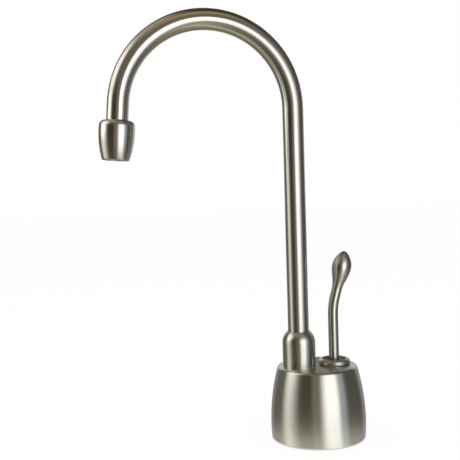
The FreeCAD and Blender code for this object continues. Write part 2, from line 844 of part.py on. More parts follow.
pieces = [
    base_shell, valve_body, spout_sleeve, spout_thrust_washer, spout_bush, lever_collar, lever_pivot_pin,
    valve_seat, valve_return_spring, valve_bottom_plug, plug_o_ring, base_plate, base_plate_screws,
    deck_gasket, mounting_shank, rubber_deck_washer, steel_deck_washer, mounting_nut, inlet_fitting,
    inlet_o_ring, inlet_collet, gooseneck_tube, spout_spigot, spout_o_rings, nozzle_housing,
    stream_straightener, mesh_screen, outlet_gasket, lever_handle, lever_ball, lever_set_screw,
    valve_plunger, valve_disc, stem_o_ring,
]

os.makedirs("parts", exist_ok=True)
for piece in pieces:
    shape = piece()
    name = piece.__name__
    shape.exportStep("parts/" + name + ".step")
    print(name, len(shape.Solids), "solid,", round(shape.Volume / 1000, 3), "cm3,", "valid", shape.isValid())
print("stem travel", round(nose_fall, 3), "mm, per radian", round(nose_fall / full_tilt, 3), "mm")
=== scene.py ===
# %% [markdown]
# # A drinking water faucet in satin nickel
#
# The solids of the faucet come in as a fixed frame, in metres, with the origin on the sink deck under the
# middle of the base. The spout reaches along -Y and the lever stands at +Y. This lesson sets up the studio,
# gives each piece its finish, and adds the small forms that the solids leave out: the screw thread and the
# grip ribs under the deck, and a return spring.

# %% Load the solids
import math

import bmesh
import bpy
from mathutils import Matrix, Vector


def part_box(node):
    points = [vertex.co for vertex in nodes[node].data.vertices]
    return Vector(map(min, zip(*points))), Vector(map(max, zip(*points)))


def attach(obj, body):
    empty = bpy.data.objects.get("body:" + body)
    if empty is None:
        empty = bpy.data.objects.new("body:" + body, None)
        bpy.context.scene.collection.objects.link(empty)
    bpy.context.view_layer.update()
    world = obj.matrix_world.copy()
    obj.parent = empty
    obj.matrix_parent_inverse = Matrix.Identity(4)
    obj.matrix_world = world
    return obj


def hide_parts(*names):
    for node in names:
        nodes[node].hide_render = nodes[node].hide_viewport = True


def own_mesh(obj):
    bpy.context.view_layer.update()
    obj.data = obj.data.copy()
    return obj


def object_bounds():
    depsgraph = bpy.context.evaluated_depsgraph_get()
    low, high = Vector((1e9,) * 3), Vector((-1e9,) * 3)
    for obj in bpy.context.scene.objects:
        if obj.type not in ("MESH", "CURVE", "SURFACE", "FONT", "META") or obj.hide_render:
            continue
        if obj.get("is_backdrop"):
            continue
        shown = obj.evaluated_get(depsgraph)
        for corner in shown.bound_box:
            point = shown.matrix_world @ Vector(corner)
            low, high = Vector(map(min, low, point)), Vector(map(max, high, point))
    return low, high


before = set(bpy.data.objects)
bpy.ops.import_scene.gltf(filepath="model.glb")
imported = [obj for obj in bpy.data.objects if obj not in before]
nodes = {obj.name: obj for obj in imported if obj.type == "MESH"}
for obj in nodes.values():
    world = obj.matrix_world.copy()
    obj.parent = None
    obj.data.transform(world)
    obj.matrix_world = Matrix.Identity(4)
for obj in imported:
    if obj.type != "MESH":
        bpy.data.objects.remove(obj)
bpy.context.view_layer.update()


def size_in_mm(low, high):
    """The three sides of a box, in millimetres."""
    return [round(1000 * (b - a), 1) for a, b in zip(low, high)]


# %% [markdown]
# ## The camera
#
# The picture was taken with a short telephoto lens from about half a metre, a little above the middle of the
# faucet and in front of its right side. A camera can be aimed by a constraint, but that keeps it level. Here its
# axes are written out, so that it keeps the small roll of the picture too. The Standard view shows a colour as it
# is written.

# %% Place the camera
CAMERA_PLACE = Vector((0.473924, -0.166803, 0.157337))
CAMERA_RIGHT = Vector((0.2362467, 0.9712056, -0.0307760))
CAMERA_UP = Vector((-0.0482523, 0.0433592, 0.9978936))
SENSOR_MM = 36
LENS_MM = 64.363
NEAREST = 0.01

camera = bpy.data.objects.new("camera", bpy.data.cameras.new("camera"))
bpy.context.scene.collection.objects.link(camera)
camera.data.sensor_width = SENSOR_MM
camera.data.lens = LENS_MM
camera.data.clip_start = NEAREST
turn = Matrix((CAMERA_RIGHT, CAMERA_UP, CAMERA_RIGHT.cross(CAMERA_UP))).transposed()
camera.matrix_world = Matrix.Translation(CAMERA_PLACE) @ turn.to_4x4()
bpy.context.scene.camera = camera
bpy.context.scene.view_settings.view_transform = "Standard"
print("camera", round(CAMERA_PLACE.length, 3), "m from the origin")


# %% [markdown]
# ## Tools for materials
#
# A material is a small graph. One function adds a node, sets it and links it, and another turns the hex
# colours that a colour chart gives into the linear light that the renderer adds up.

# %% Helpers for colours and nodes
def linear(code, level=1.0):
    """An sRGB hex colour as linear RGBA, made lighter or darker by a level."""
    values = [int(code[i:i + 2], 16) / 255 for i in (1, 3, 5)]
    return [level * (v / 12.92 if v <= 0.04045 else ((v + 0.055) / 1.055) ** 2.4) for v in values] + [1.0]


def add_node(tree, kind, inputs=None, **settings):
    """Adds a node, sets it and fills its inputs, each with a value or with another node's output."""
    node = tree.nodes.new(kind)
    for name, value in settings.items():
        setattr(node, name, value)
    for name, value in (inputs or {}).items():
        if isinstance(value, bpy.types.NodeSocket):
            tree.links.new(value, node.inputs[name])
        else:
            node.inputs[name].default_value = value
    return node


def new_tree(name):
    """A new material with an empty graph."""
    material = bpy.data.materials.new(name)
    material.use_nodes = True
    material.node_tree.nodes.clear()
    return material, material.node_tree


print("mid grey #808080 is", round(linear("#808080")[0], 3), "of white in linear light")

# %% [markdown]
# ## The background and the world's light
#
# The faucet stands in front of plain white. A white board behind it would do for one view only, so the world
# itself is white to the eye, and to metal and clear plastic too. To matt surfaces it gives an even soft light at a
# plain level. Light Path tells these rays apart.

# %% White world
SOFT_LIGHT = 0.8


def seen_directly(tree):
    """1 for the rays of the eye, of metal and of clear plastic, and 0 for those that light matt surfaces."""
    path = add_node(tree, "ShaderNodeLightPath")
    seen = add_node(tree, "ShaderNodeMath", {
        0: path.outputs["Is Camera Ray"], 1: path.outputs["Is Glossy Ray"]}, operation="MAXIMUM")
    seen = add_node(tree, "ShaderNodeMath", {
        0: seen.outputs[0], 1: path.outputs["Is Transmission Ray"]}, operation="MAXIMUM")
    return seen.outputs[0]


world = bpy.data.worlds.new("studio")
bpy.context.scene.world = world
world.use_nodes = True
sky = world.node_tree
sky.nodes.clear()
soft = add_node(sky, "ShaderNodeBackground", {"Color": linear("#FFFFFF"), "Strength": SOFT_LIGHT})
white = add_node(sky, "ShaderNodeBackground", {"Color": linear("#FFFFFF"), "Strength": 1.0})
both = add_node(sky, "ShaderNodeMixShader", {0: seen_directly(sky), 1: soft.outputs[0], 2: white.outputs[0]})
add_node(sky, "ShaderNodeOutputWorld", {"Surface": both.outputs[0]})
print("world: white to the eye,", SOFT_LIGHT, "of white to matt surfaces")

# %% [markdown]
# ## The floor
#
# The floor could be a bare plane. It is a pale slab as thick as a sink deck, so that seen from below the washers
# and the nut clamp it. To the eye and in the metal it is nearly the white of the background, and a part of its
# shading is kept, which leaves the faucet's soft shadow.

# %% Pale slab
DECK_THICKNESS = 0.020
FLOOR_SIDE = 8
FLOOR_WHITE = 0.94

# A painted board: matt and nearly white.
pale, tree = new_tree("pale_floor")
share = add_node(tree, "ShaderNodeMath", {0: seen_directly(tree), 1: FLOOR_WHITE}, operation="MULTIPLY")
matt = add_node(tree, "ShaderNodeBsdfDiffuse", {"Color": linear("#FBFAF8")})
glow = add_node(tree, "ShaderNodeEmission", {"Color": linear("#FFFFFF"), "Strength": 1.0})
both = add_node(tree, "ShaderNodeMixShader", {0: share.outputs[0], 1: matt.outputs[0], 2: glow.outputs[0]})
add_node(tree, "ShaderNodeOutputMaterial", {"Surface": both.outputs[0]})


def new_piece(name, mesh, material=None):
    """Links a mesh to the scene as an object at the origin."""
    piece = bpy.data.objects.new(name, mesh)
    bpy.context.scene.collection.objects.link(piece)
    if material:
        mesh.materials.append(material)
    return piece


def mesh_from(name, form):
    """A plain mesh from a bmesh, which is then freed."""
    mesh = bpy.data.meshes.new(name)
    form.to_mesh(mesh)
    form.free()
    return mesh


form = bmesh.new()
size = Matrix.Diagonal((FLOOR_SIDE, FLOOR_SIDE, DECK_THICKNESS, 1))
slab = Matrix.Translation((0, 0, -DECK_THICKNESS / 2)) @ size
bmesh.ops.create_cube(form, size=1.0, matrix=slab)
floor = new_piece("floor", mesh_from("floor", form), pale)
floor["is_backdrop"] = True
print("floor", FLOOR_SIDE, "m wide and", round(1000 * DECK_THICKNESS), "mm thick")

# %% [markdown]
# ## Studio cards
#
# Brushed metal has little look of its own: it shows what stands round it. A studio sets softboxes, dark flags
# and coloured boards round such a thing, and their edges become the upright stripes along it. Area lamps could
# stand for them, but they have hard edges and would light the matt pieces as well. These cards show in the metal
# only and not to the camera, so that the faucet can be seen from every side.
#
# Each line below is one of them: the angles between which it stands, counted from the camera to the right, how
# soft its upright edges are, the heights between which it reaches and how soft those edges are, its tint, and its
# brightness in whites. A later card stands in front of an earlier one.

# %% The cards of the studio
WALL = ("#FFFFFF", 0.36)
CARDS = [
    ("white sheet behind, right half", 140, None, 12, 0.12, 0.36, 0.03, "#FFFFFF", 0.62),
    ("left drape", -148, -97, 14, None, None, 0, "#F4EFE2", 0.18),
    ("left softbox, foot", -96, -72, 12, None, 0.215, 0.025, "#FFFBF2", 1.05),
    ("left softbox, middle", -101, -70, 10, 0.215, None, 0.025, "#FFFDF8", 2.20),
    ("dark flag, foot", -58, -17, 9, None, 0.17, 0.025, "#F6EDD0", 0.075),
    ("dark flag, middle", -60, -15, 9, 0.17, None, 0.025, "#F6EDD0", 0.02),
    ("warm board", -17, 4, 9, None, None, 0, "#FFE8C8", 0.24),
    ("right drape", 65, 128, 12, None, None, 0, "#F6F0E4", 0.12),
    ("dark wall above", None, None, 0, 0.36, None, 0.06, "#F6EFE0", 0.11),
    ("white sheet behind, left half", None, -148, 12, 0.12, 0.60, 0.03, "#FFFFFF", 0.75),
    ("warm board above", -52, 84, 18, 0.36, None, 0.06, "#F6E8D0", 0.20),
    ("left softbox, top", -113, -60, 12, 0.38, None, 0.05, "#FFFBF4", 1.50),
    ("key softbox", 7, 49, 12, None, 0.40, 0.14, "#FCFEFF", 1.95),
    ("cool board", 49, 65, 8, None, 0.40, 0.14, "#E4EFFF", 0.60),
    ("dark ceiling", None, None, 0, 0.86, None, 0.14, "#F0DCB4", 0.08),
    ("wooden ceiling", -90, 66, 24, 0.86, None, 0.14, "#F8DEB4", 0.44),
    ("ceiling over the left softbox", -122, -78, 18, 0.86, None, 0.14, "#FFF4E4", 0.50),
    ("middle of the ceiling", None, None, 0, 1.21, None, 0.06, "#F0DCB4", 0.06)]
TABLE = ("#FFF6D2", 0.28)
POOLS = [
    ("pool of the left softbox", -110, -63, 20, None, None, 0, "#FFFADC", 0.54),
    ("shade of the flag", -55, -13, 14, None, None, 0, "#FFF6D2", 0.20),
    ("pool of the key softbox", 6, 60, 18, None, None, 0, "#FFFCE4", 0.54)]


def card_light(tree, angle, height, behind, cards):
    """The light at an angle and a height of the studio: each card is mixed in front of those before it."""
    colour = linear(*behind)
    for name, left, right, edge, bottom, top, fade, tint, level in cards:
        share = 1.0
        borders = ((angle, left, edge, 1), (angle, right, edge, 0), (height, bottom, fade, 1), (height, top, fade, 0))
        for place, end, blur, rises in borders:
            if end is not None:
                # Map Range's inputs 1 and 2 are the stretch of the place, and 3 and 4 are the values at its ends.
                step = add_node(tree, "ShaderNodeMapRange", {
                    0: place, 1: end - blur, 2: end + blur, 3: 1 - rises, 4: rises}, interpolation_type="SMOOTHSTEP")
                share = add_node(tree, "ShaderNodeMath", {
                    0: share, 1: step.outputs[0]}, operation="MULTIPLY").outputs[0]
        colour = add_node(tree, "ShaderNodeMix", {
            0: share, 6: colour, 7: linear(tint, level)}, label=name, data_type="RGBA").outputs[2]
    return colour


print(len(CARDS), "cards and", len(POOLS), "pools of light on the table")

# %% [markdown]
# The cards hang on a round surround with a lid, 0.6 m away. Its lower part shows in the upright tube, its middle
# in the nozzle and the shoulder of the base, and its upper part and the lid in the crown of the spout. A second
# ring hangs below the deck for the brass there. Each is a sheet whose UV map holds the angle and the height.

# %% A sheet right round the faucet
TOWARDS_CAMERA = Vector((0.97208, -0.23465, 0.0))
TOWARDS_RIGHT = Vector((0.23465, 0.97208, 0.0))
FOOT_RADIUS = 0.0287
SHEET_STEPS = 120


def way_at(angle):
    """The level direction at an angle, counted from the camera to the right."""
    return TOWARDS_CAMERA * math.cos(angle) + TOWARDS_RIGHT * math.sin(angle)


def sheet(name, outline, material, follow=False):
    """A sheet right round the faucet, from an outline of radius, height and distance along it.

    A sheet that follows the foot runs along the lines in which the round foot sends its reflections, so that a
    stripe on the base stays straight down to the floor.
    """
    form = bmesh.new()
    plan = form.loops.layers.uv.new("plan")
    places = {}
    rows = []
    for step in range(SHEET_STEPS + 1):
        angle = math.radians(360 * step / SHEET_STEPS - 180)
        row = []
        for radius, height, along in outline:
            spot = way_at(angle) * radius
            if follow:
                spot = way_at(angle / 2) * FOOT_RADIUS + way_at(angle) * (radius - FOOT_RADIUS)
            corner = form.verts.new((spot.x, spot.y, height))
            places[corner] = (step / SHEET_STEPS, along)
            row.append(corner)
        rows.append(row)
    for row, following in zip(rows, rows[1:]):
        for i in range(len(outline) - 1):
            face = form.faces.new((row[i], row[i + 1], following[i + 1], following[i]))
            for loop in face.loops:
                loop[plan].uv = places[loop.vert]
    if follow:
        strip = form.faces.new((rows[-1][0], rows[-1][-1], rows[0][-1], rows[0][0]))
        for loop in strip.loops:
            loop[plan].uv = (1.0, places[loop.vert][1])
    piece = new_piece(name, mesh_from(name, form), material)
    piece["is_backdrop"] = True
    for flag in ("visible_camera", "visible_diffuse", "visible_transmission", "visible_shadow"):
        setattr(piece, flag, False)


print("a sheet has", SHEET_STEPS, "steps of", 360 / SHEET_STEPS, "degrees")

# %% Surround
SURROUND_RADIUS = 0.6
SURROUND_HEIGHT = 0.75
LOWER_EDGE = -0.3
CARD_FOOT = 0.1


def plan_places(tree):
    """The angle in degrees and the distance along, from a sheet's UV map."""
    uv = add_node(tree, "ShaderNodeUVMap", uv_map="plan").outputs[0]
    turn, along, _ = add_node(tree, "ShaderNodeSeparateXYZ", {0: uv}).outputs
    angle = add_node(tree, "ShaderNodeMath", {0: turn, 1: 360.0, 2: -180.0}, operation="MULTIPLY_ADD")
    return angle.outputs[0], along


# Cloth and card that shine by themselves: soft-edged fields of light.
cloth, tree = new_tree("studio_cards")
angle, height = plan_places(tree)
cards = card_light(tree, angle, height, WALL, CARDS)
light = add_node(tree, "ShaderNodeEmission", {"Color": cards, "Strength": 1.0})
add_node(tree, "ShaderNodeOutputMaterial", {"Surface": light.outputs[0]})
sheet("surround", [
    (SURROUND_RADIUS, 0.0, 0.0), (SURROUND_RADIUS, SURROUND_HEIGHT, SURROUND_HEIGHT),
    (0.0, SURROUND_HEIGHT, SURROUND_HEIGHT + SURROUND_RADIUS)], cloth)
sheet("lower_surround", [
    (SURROUND_RADIUS, LOWER_EDGE, 0.0), (SURROUND_RADIUS, -DECK_THICKNESS, CARD_FOOT)], cloth)
print("surround", SURROUND_HEIGHT, "m high,", SURROUND_RADIUS, "m away")

# %% [markdown]
# The table top is a grey sheet that glows with painted light and shows in the metal only: seen from above it is
# grey, with a painted pool of light before each softbox and painted shade before the flag, and along its surface it
# shows a painted reflection of the cards, which is why the stripes on the base run down to the floor. Its grey is
# painted lighter near the foot, where the metal's own light falls on it, and darker farther out. The painted sheen
# comes from Layer Weight, which is near 1 where a ray grazes the sheet. Farther out the painted reflection sets in a
# little sooner, which the column and the lever show.

# %% Table
# Places are metres from the faucet's axis. The painted sheen and the painted reflection farther out run between
# two values of Layer Weight.
TABLE_HEIGHT = 0.0006
TABLE_RINGS = (0.0293, 0.05, 0.1, SURROUND_RADIUS)
NEAR, FAR = 0.13, 0.28
NEAR_LEVEL, FAR_LEVEL = 1.1, 0.7
GLOW_NEAR, GLOW_FAR = 0.040, 0.075
FOOT_GLOW = 0.65
SHEEN = 0.85
SHEEN_FROM, SHEEN_FULL = 0.45, 0.78
OUTER_SHEEN_FROM, OUTER_SHEEN_FULL = 0.40, 0.64
OUTER_SHEEN_NEAR, OUTER_SHEEN_FAR = 0.20, 0.35

# A glowing grey sheet, seen in the metal only: painted pools of light and shade from above, and a painted soft
# reflection of the cards along its surface.
table, tree = new_tree("table_painted_light")
angle, reach = plan_places(tree)
cards = card_light(tree, angle, CARD_FOOT, WALL, CARDS)
cards = add_node(tree, "ShaderNodeVectorMath", {0: cards, "Scale": SHEEN}, operation="SCALE").outputs[0]
grey = card_light(tree, angle, CARD_FOOT, TABLE, POOLS)
# Painted light: the table's grey is brighter near the foot and darker farther out, and a painted glow is added close
# to the foot.
far = add_node(tree, "ShaderNodeMapRange", {0: reach, 1: NEAR, 2: FAR, 3: NEAR_LEVEL, 4: FAR_LEVEL}).outputs[0]
grey = add_node(tree, "ShaderNodeVectorMath", {0: grey, "Scale": far}, operation="SCALE").outputs[0]
foot = add_node(tree, "ShaderNodeMapRange", {0: reach, 1: GLOW_NEAR, 2: GLOW_FAR, 3: FOOT_GLOW, 4: 0.0}).outputs[0]
grey = add_node(tree, "ShaderNodeVectorMath", {0: grey, 1: foot}, operation="ADD").outputs[0]
# Painted reflection: where a ray grazes the sheet, and a little sooner farther out, the sheet glows with the cards'
# colours in place of its grey.
graze = add_node(tree, "ShaderNodeLayerWeight", {"Blend": 0.5}).outputs["Facing"]
sheen = add_node(tree, "ShaderNodeMapRange", {0: graze, 1: SHEEN_FROM, 2: SHEEN_FULL})
outer_sheen = add_node(tree, "ShaderNodeMapRange", {0: graze, 1: OUTER_SHEEN_FROM, 2: OUTER_SHEEN_FULL})
beyond = add_node(tree, "ShaderNodeMapRange", {0: reach, 1: OUTER_SHEEN_NEAR, 2: OUTER_SHEEN_FAR})
outer_sheen = add_node(tree, "ShaderNodeMath", {0: outer_sheen.outputs[0], 1: beyond.outputs[0]}, operation="MULTIPLY")
sheen = add_node(tree, "ShaderNodeMath", {0: sheen.outputs[0], 1: outer_sheen.outputs[0]}, operation="MAXIMUM")
paint = add_node(tree, "ShaderNodeMix", {0: sheen.outputs[0], 6: grey, 7: cards}, data_type="RGBA")
light = add_node(tree, "ShaderNodeEmission", {"Color": paint.outputs[2], "Strength": 1.0})
add_node(tree, "ShaderNodeOutputMaterial", {"Surface": light.outputs[0]})
sheet("table", [(radius, TABLE_HEIGHT, radius) for radius in TABLE_RINGS], table, follow=True)
print("table", 2 * SURROUND_RADIUS, "m wide,", round(1000 * TABLE_HEIGHT, 1), "mm above the floor")

# %% [markdown]
# ## Lamps
#
# Three large soft lamps light what is matt, at a plain level: a white card facing them renders as white. The
# metal doesn't show them, because the cards stand for them there. Each line gives a lamp's angle, counted as the
# cards' are, its height, its distance, its width and depth, and its watts.

# %% Soft lamps
LAMPS = [
    ("key_lamp", 30, 0.6, 0.9, 0.7, 0.7, 1.5),
    ("left_lamp", -85, 0.6, 0.9, 0.6, 0.9, 1.0),
    ("top_lamp", 0, 1.1, 0.05, 0.9, 0.9, 2.0)]
AIM = Vector((0, 0, 0.1))

for name, angle, height, distance, width, depth, watts in LAMPS:
    light = bpy.data.lights.new(name, "AREA")
    light.shape = "RECTANGLE"
    light.size = width
    light.size_y = depth
    light.energy = watts
    holder = bpy.data.objects.new(name, light)
    bpy.context.scene.collection.objects.link(holder)
    holder.location = way_at(math.radians(angle)) * distance + Vector((0, 0, height))
    holder.rotation_mode = "QUATERNION"
    holder.rotation_quaternion = (AIM - holder.location).to_track_quat("-Z", "Y")
    holder.visible_camera = False
    holder.visible_glossy = False
print(len(LAMPS), "lamps,", sum(row[-1] for row in LAMPS), "W together")

# %% [markdown]
# ## Brushed and turned metal
#
# The visible pieces are brass, plated with nickel and brushed on a wheel while they turn. The brush leaves fine
# lines round each piece. Along a line the metal is smooth and across the lines it is rough, so that a highlight
# is drawn out across the lines: on a turned piece it runs straight over every shoulder. The shader gets that
# from its anisotropy, which needs a direction at each point. A texture of streaks could only paint it on, and it
# would not move with the light.
#
# Three small graphs work the direction out from where the point lies: round the axis of a turned piece, along
# the bent tube, or up the lever's rod. Each also gives a plan in which the lines are straight, for the patterns.

# %% Where the lines run
BEND_CENTRE = (-0.0637, 0.2007)
BEND_RADIUS = 0.0523
ARC_RADIUS = 0.01


def round_the_axis(tree, spot, axis, lean):
    """The way round a turned piece's axis, the plan of radius, height and arc, and the height."""
    beside = add_node(tree, "ShaderNodeMapping", {
        "Vector": spot, "Location": (0.0, axis, 0.0), "Rotation": (lean, 0.0, 0.0)}, vector_type="TEXTURE")
    across, out, up = add_node(tree, "ShaderNodeSeparateXYZ", {0: beside.outputs[0]}).outputs
    flat = add_node(tree, "ShaderNodeCombineXYZ", {0: across, 1: out}).outputs[0]
    radius = add_node(tree, "ShaderNodeVectorMath", {0: flat}, operation="LENGTH").outputs["Value"]
    back = add_node(tree, "ShaderNodeMath", {0: out, 1: -1.0}, operation="MULTIPLY").outputs[0]
    way = add_node(tree, "ShaderNodeCombineXYZ", {0: back, 1: across}).outputs[0]
    swing = add_node(tree, "ShaderNodeMath", {0: out, 1: across}, operation="ARCTAN2").outputs[0]
    arc = add_node(tree, "ShaderNodeMath", {0: swing, 1: ARC_RADIUS}, operation="MULTIPLY").outputs[0]
    return way, add_node(tree, "ShaderNodeCombineXYZ", {0: radius, 1: up, 2: arc}).outputs[0], up


def along_the_tube(tree, spot):
    """The way up the leg, over the half circle and down to the nozzle, the plan of it, and the height."""
    centre = (0.0, -BEND_CENTRE[0], -BEND_CENTRE[1])
    beside = add_node(tree, "ShaderNodeVectorMath", {0: spot, 1: centre}, operation="ADD").outputs[0]
    across, out, up = add_node(tree, "ShaderNodeSeparateXYZ", {0: beside}).outputs
    rise = add_node(tree, "ShaderNodeMath", {0: up, 1: 0.0}, operation="MAXIMUM").outputs[0]
    below = add_node(tree, "ShaderNodeMath", {0: up, 1: 0.0}, operation="MINIMUM").outputs[0]
    back = add_node(tree, "ShaderNodeMath", {0: rise, 1: -1.0}, operation="MULTIPLY").outputs[0]
    way = add_node(tree, "ShaderNodeCombineXYZ", {1: back, 2: out}).outputs[0]
    swing = add_node(tree, "ShaderNodeMath", {0: rise, 1: out}, operation="ARCTAN2").outputs[0]
    arc = add_node(tree, "ShaderNodeMath", {0: swing, 1: BEND_RADIUS}, operation="MULTIPLY").outputs[0]
    along = add_node(tree, "ShaderNodeMath", {0: arc, 1: below}, operation="SUBTRACT").outputs[0]
    return way, add_node(tree, "ShaderNodeCombineXYZ", {0: along, 2: across}).outputs[0], up


def up_the_rod(tree, spot):
    """The way up the lever, the plan of it, and the height."""
    across, _, up = add_node(tree, "ShaderNodeSeparateXYZ", {0: spot}).outputs
    way = add_node(tree, "ShaderNodeCombineXYZ", {2: 1.0}).outputs[0]
    return way, add_node(tree, "ShaderNodeCombineXYZ", {0: up, 2: across}).outputs[0], up


print("the bend's centre line is", round(1000 * math.pi * BEND_RADIUS), "mm long")

# %% [markdown]
# The finish itself has three patterns. A fine set of lines tilts the surface a little. A coarser set of streaks,
# which the eye can still make out, makes the metal a little paler or duller from one to the next. Soft patches
# stand for the places that hands rub brighter. Real brush lines lie a few hundredths of a millimetre apart,
# which is too fine to show here, so they are drawn at 0.12 mm and their streaks at 0.9 mm. A line is about 3 mm
# long, a streak 8 mm, and a rubbed patch 14 mm across.

# %% One function for metal with lines round it
LINE_PITCH = 0.00012
LINE_ENDS_PER_M = 300.0
LINE_DEPTH = 0.0000012
STREAK_PITCH = 0.0009
STREAK_ENDS_PER_M = 120.0
RUBBED_PER_M = 70.0
WEAR_LEAST, WEAR_MOST = 0.6, 1.4
SATIN_SPREAD = 0.015
QUARTER_TURN = 0.25
FLAT_TOP_EDGE = 0.0003
FLAT_TOP_DULLER = 1.35


def lined_metal(name, tones, satin, drawn, shape="turned", axis=0.0, lean=0.0, flat_from=None):
    """Metal with lines round a turned piece's axis, round the bent tube or round an upright rod.

    Satin is its roughness, drawn is how far highlights are drawn out, and from the height flat_from up it is duller.
    """
    material, tree = new_tree(name)
    spot = add_node(tree, "ShaderNodeTexCoord").outputs["Object"]
    if shape == "turned":
        way, plan, up = round_the_axis(tree, spot, axis, lean)
    elif shape == "bent":
        way, plan, up = along_the_tube(tree, spot)
    else:
        way, plan, up = up_the_rod(tree, spot)
    way = add_node(tree, "ShaderNodeVectorTransform", {
        0: way}, vector_type="VECTOR", convert_from="OBJECT", convert_to="WORLD").outputs[0]
    lines = add_node(tree, "ShaderNodeMapping", {
        "Vector": plan, "Scale": (1 / LINE_PITCH, 1 / LINE_PITCH, LINE_ENDS_PER_M)})
    lines = add_node(tree, "ShaderNodeTexNoise", {"Vector": lines.outputs[0], "Scale": 1.0, "Detail": 1.0})
    streaks = add_node(tree, "ShaderNodeMapping", {
        "Vector": plan, "Scale": (1 / STREAK_PITCH, 1 / STREAK_PITCH, STREAK_ENDS_PER_M)})
    streaks = add_node(tree, "ShaderNodeTexNoise", {"Vector": streaks.outputs[0], "Scale": 1.0, "Detail": 2.0})
    rubbed = add_node(tree, "ShaderNodeTexNoise", {"Vector": spot, "Scale": RUBBED_PER_M, "Detail": 2.0})
    wear = add_node(tree, "ShaderNodeMath", {0: streaks.outputs[0], 1: rubbed.outputs[0]}, operation="ADD")
    dull = add_node(tree, "ShaderNodeMapRange", {
        0: wear.outputs[0], 1: WEAR_LEAST, 2: WEAR_MOST, 3: satin - SATIN_SPREAD, 4: satin + SATIN_SPREAD})
    if flat_from is not None:
        share = add_node(tree, "ShaderNodeMapRange", {
            0: up, 1: flat_from, 2: flat_from + FLAT_TOP_EDGE, 3: 1.0, 4: FLAT_TOP_DULLER})
        dull = add_node(tree, "ShaderNodeMath", {0: dull.outputs[0], 1: share.outputs[0]}, operation="MULTIPLY")
    tint = add_node(tree, "ShaderNodeMix", {
        0: streaks.outputs[0], 6: linear(tones[0]), 7: linear(tones[1])}, data_type="RGBA")
    bump = add_node(tree, "ShaderNodeBump", {"Height": lines.outputs[0], "Distance": LINE_DEPTH, "Strength": 1.0})
    metal = add_node(tree, "ShaderNodeBsdfPrincipled", {
        "Base Color": tint.outputs[2], "Metallic": 1.0, "Roughness": dull.outputs[0], "Normal": bump.outputs[0],
        "Anisotropic": drawn, "Anisotropic Rotation": QUARTER_TURN if shape == "turned" else 0.0, "Tangent": way})
    add_node(tree, "ShaderNodeOutputMaterial", {"Surface": metal.outputs[0]})
    return material


print("lines at", round(1000 * LINE_PITCH, 2), "mm, streaks at", round(1000 * STREAK_PITCH, 2), "mm")

# %% [markdown]
# ## Satin nickel
#
# Nickel is a slightly warm grey. The base, the column and the lever were brushed hard, the tube and the nozzle
# more lightly, which keeps the edges of the softboxes on them crisper. The low ring round the lever and the base's
# flat top are out of the wheel's reach and stay duller. One material could serve all seven pieces, but the lines
# must run round the axis of each, so there is one for each axis. The nozzle's leans with the end of the spout.

# %% Satin nickel above the deck
SPOUT_AXIS = -0.0114
LEVER_AXIS = 0.01115
NOZZLE_AXIS = -0.1320
NOZZLE_LEAN = math.radians(-4.5)
FLAT_TOP = 0.0438
# Brushed nickel plate: a pale warm grey whose highlights run in long soft stripes.
NICKEL = ("#CDCBC3", "#D5D3CB")

nickel = {
    "base_shell": lined_metal("satin_nickel_brushed_base", NICKEL, 0.235, 0.95, flat_from=FLAT_TOP),
    "spout_sleeve": lined_metal("satin_nickel_brushed_sleeve", NICKEL, 0.215, 0.92, axis=SPOUT_AXIS),
    "lever_collar": lined_metal("satin_nickel_brushed_collar", NICKEL, 0.36, 0.60, axis=LEVER_AXIS),
    "nozzle_housing": lined_metal("satin_nickel_brushed_nozzle", NICKEL, 0.20, 0.88, axis=NOZZLE_AXIS,
                                  lean=NOZZLE_LEAN),
    "gooseneck_tube": lined_metal("satin_nickel_brushed_tube", NICKEL, 0.20, 0.80, "bent"),
    "lever_handle": lined_metal("satin_nickel_brushed_lever", NICKEL, 0.235, 0.95, "rod")}
nickel["lever_ball"] = nickel["lever_collar"]
for name, material in nickel.items():
    nodes[name].data.materials[0] = material
print("satin nickel on", len(nickel), "pieces")

# %% [markdown]
# ## Brass and stainless steel
#
# The valve, the shank and the nut are brass, turned on a lathe and left bare: a warm yellow with tool marks round
# it. The screws, washers, spring and screen are stainless steel, a cooler grey. One material for each metal would
# draw all its rings round one axis. Here each piece's lines run round the middle of its own box, and pieces on the
# same axis share a finish.

# %% Turned brass and steel
LATHE_DRAWN = 0.6
TURNED = [
    # Bare brass: a warm yellow, with paler and duller rings that the tool left.
    ("brass_turned", ("#B08A45", "#C9A45C"), 0.30, (
        "valve_body", "valve_seat", "valve_plunger", "valve_bottom_plug", "spout_spigot", "mounting_shank",
        "mounting_nut")),
    # Stainless steel: a neutral grey, a little darker and cooler than the nickel.
    ("stainless_steel_turned", ("#B9B9B7", "#CBCAC8"), 0.28, (
        "lever_pivot_pin", "lever_set_screw", "base_plate", "base_plate_screws", "steel_deck_washer",
        "valve_return_spring", "mesh_screen"))]

made = {}
for metal, tones, satin, names in TURNED:
    for name in names:
        low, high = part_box(name)
        axis = round((low[1] + high[1]) / 2, 4)
        if (metal, axis) not in made:
            made[metal, axis] = lined_metal(
                "%s_%d" % (metal, len(made) + 1), tones, satin, LATHE_DRAWN, axis=axis)
        nodes[name].data.materials[0] = made[metal, axis]
print(len(made), "turned finishes, one for each axis")

# %% [markdown]
# ## Rubber and acetal
#
# The seals and the deck washer are moulded black rubber, a matt dark grey with a faint dusty bloom. The bush,
# the straightener and the push-fit inlet are moulded acetal, a smooth plastic with a soft gloss. Both take the
# fine grain of the mould, so one function makes them from noise: patches of tone and gloss, 5 to 6 mm across, and
# small grain as relief. A mould's real grain is finer, and it is drawn coarse enough to show.

# %% Moulded rubber and plastic
PATCHES_PER_M = 180.0
PATCH_LEAST, PATCH_MOST = 0.3, 0.7
# Acetal's own index, which is near that of rubber.
MOULDED_IOR = 1.48


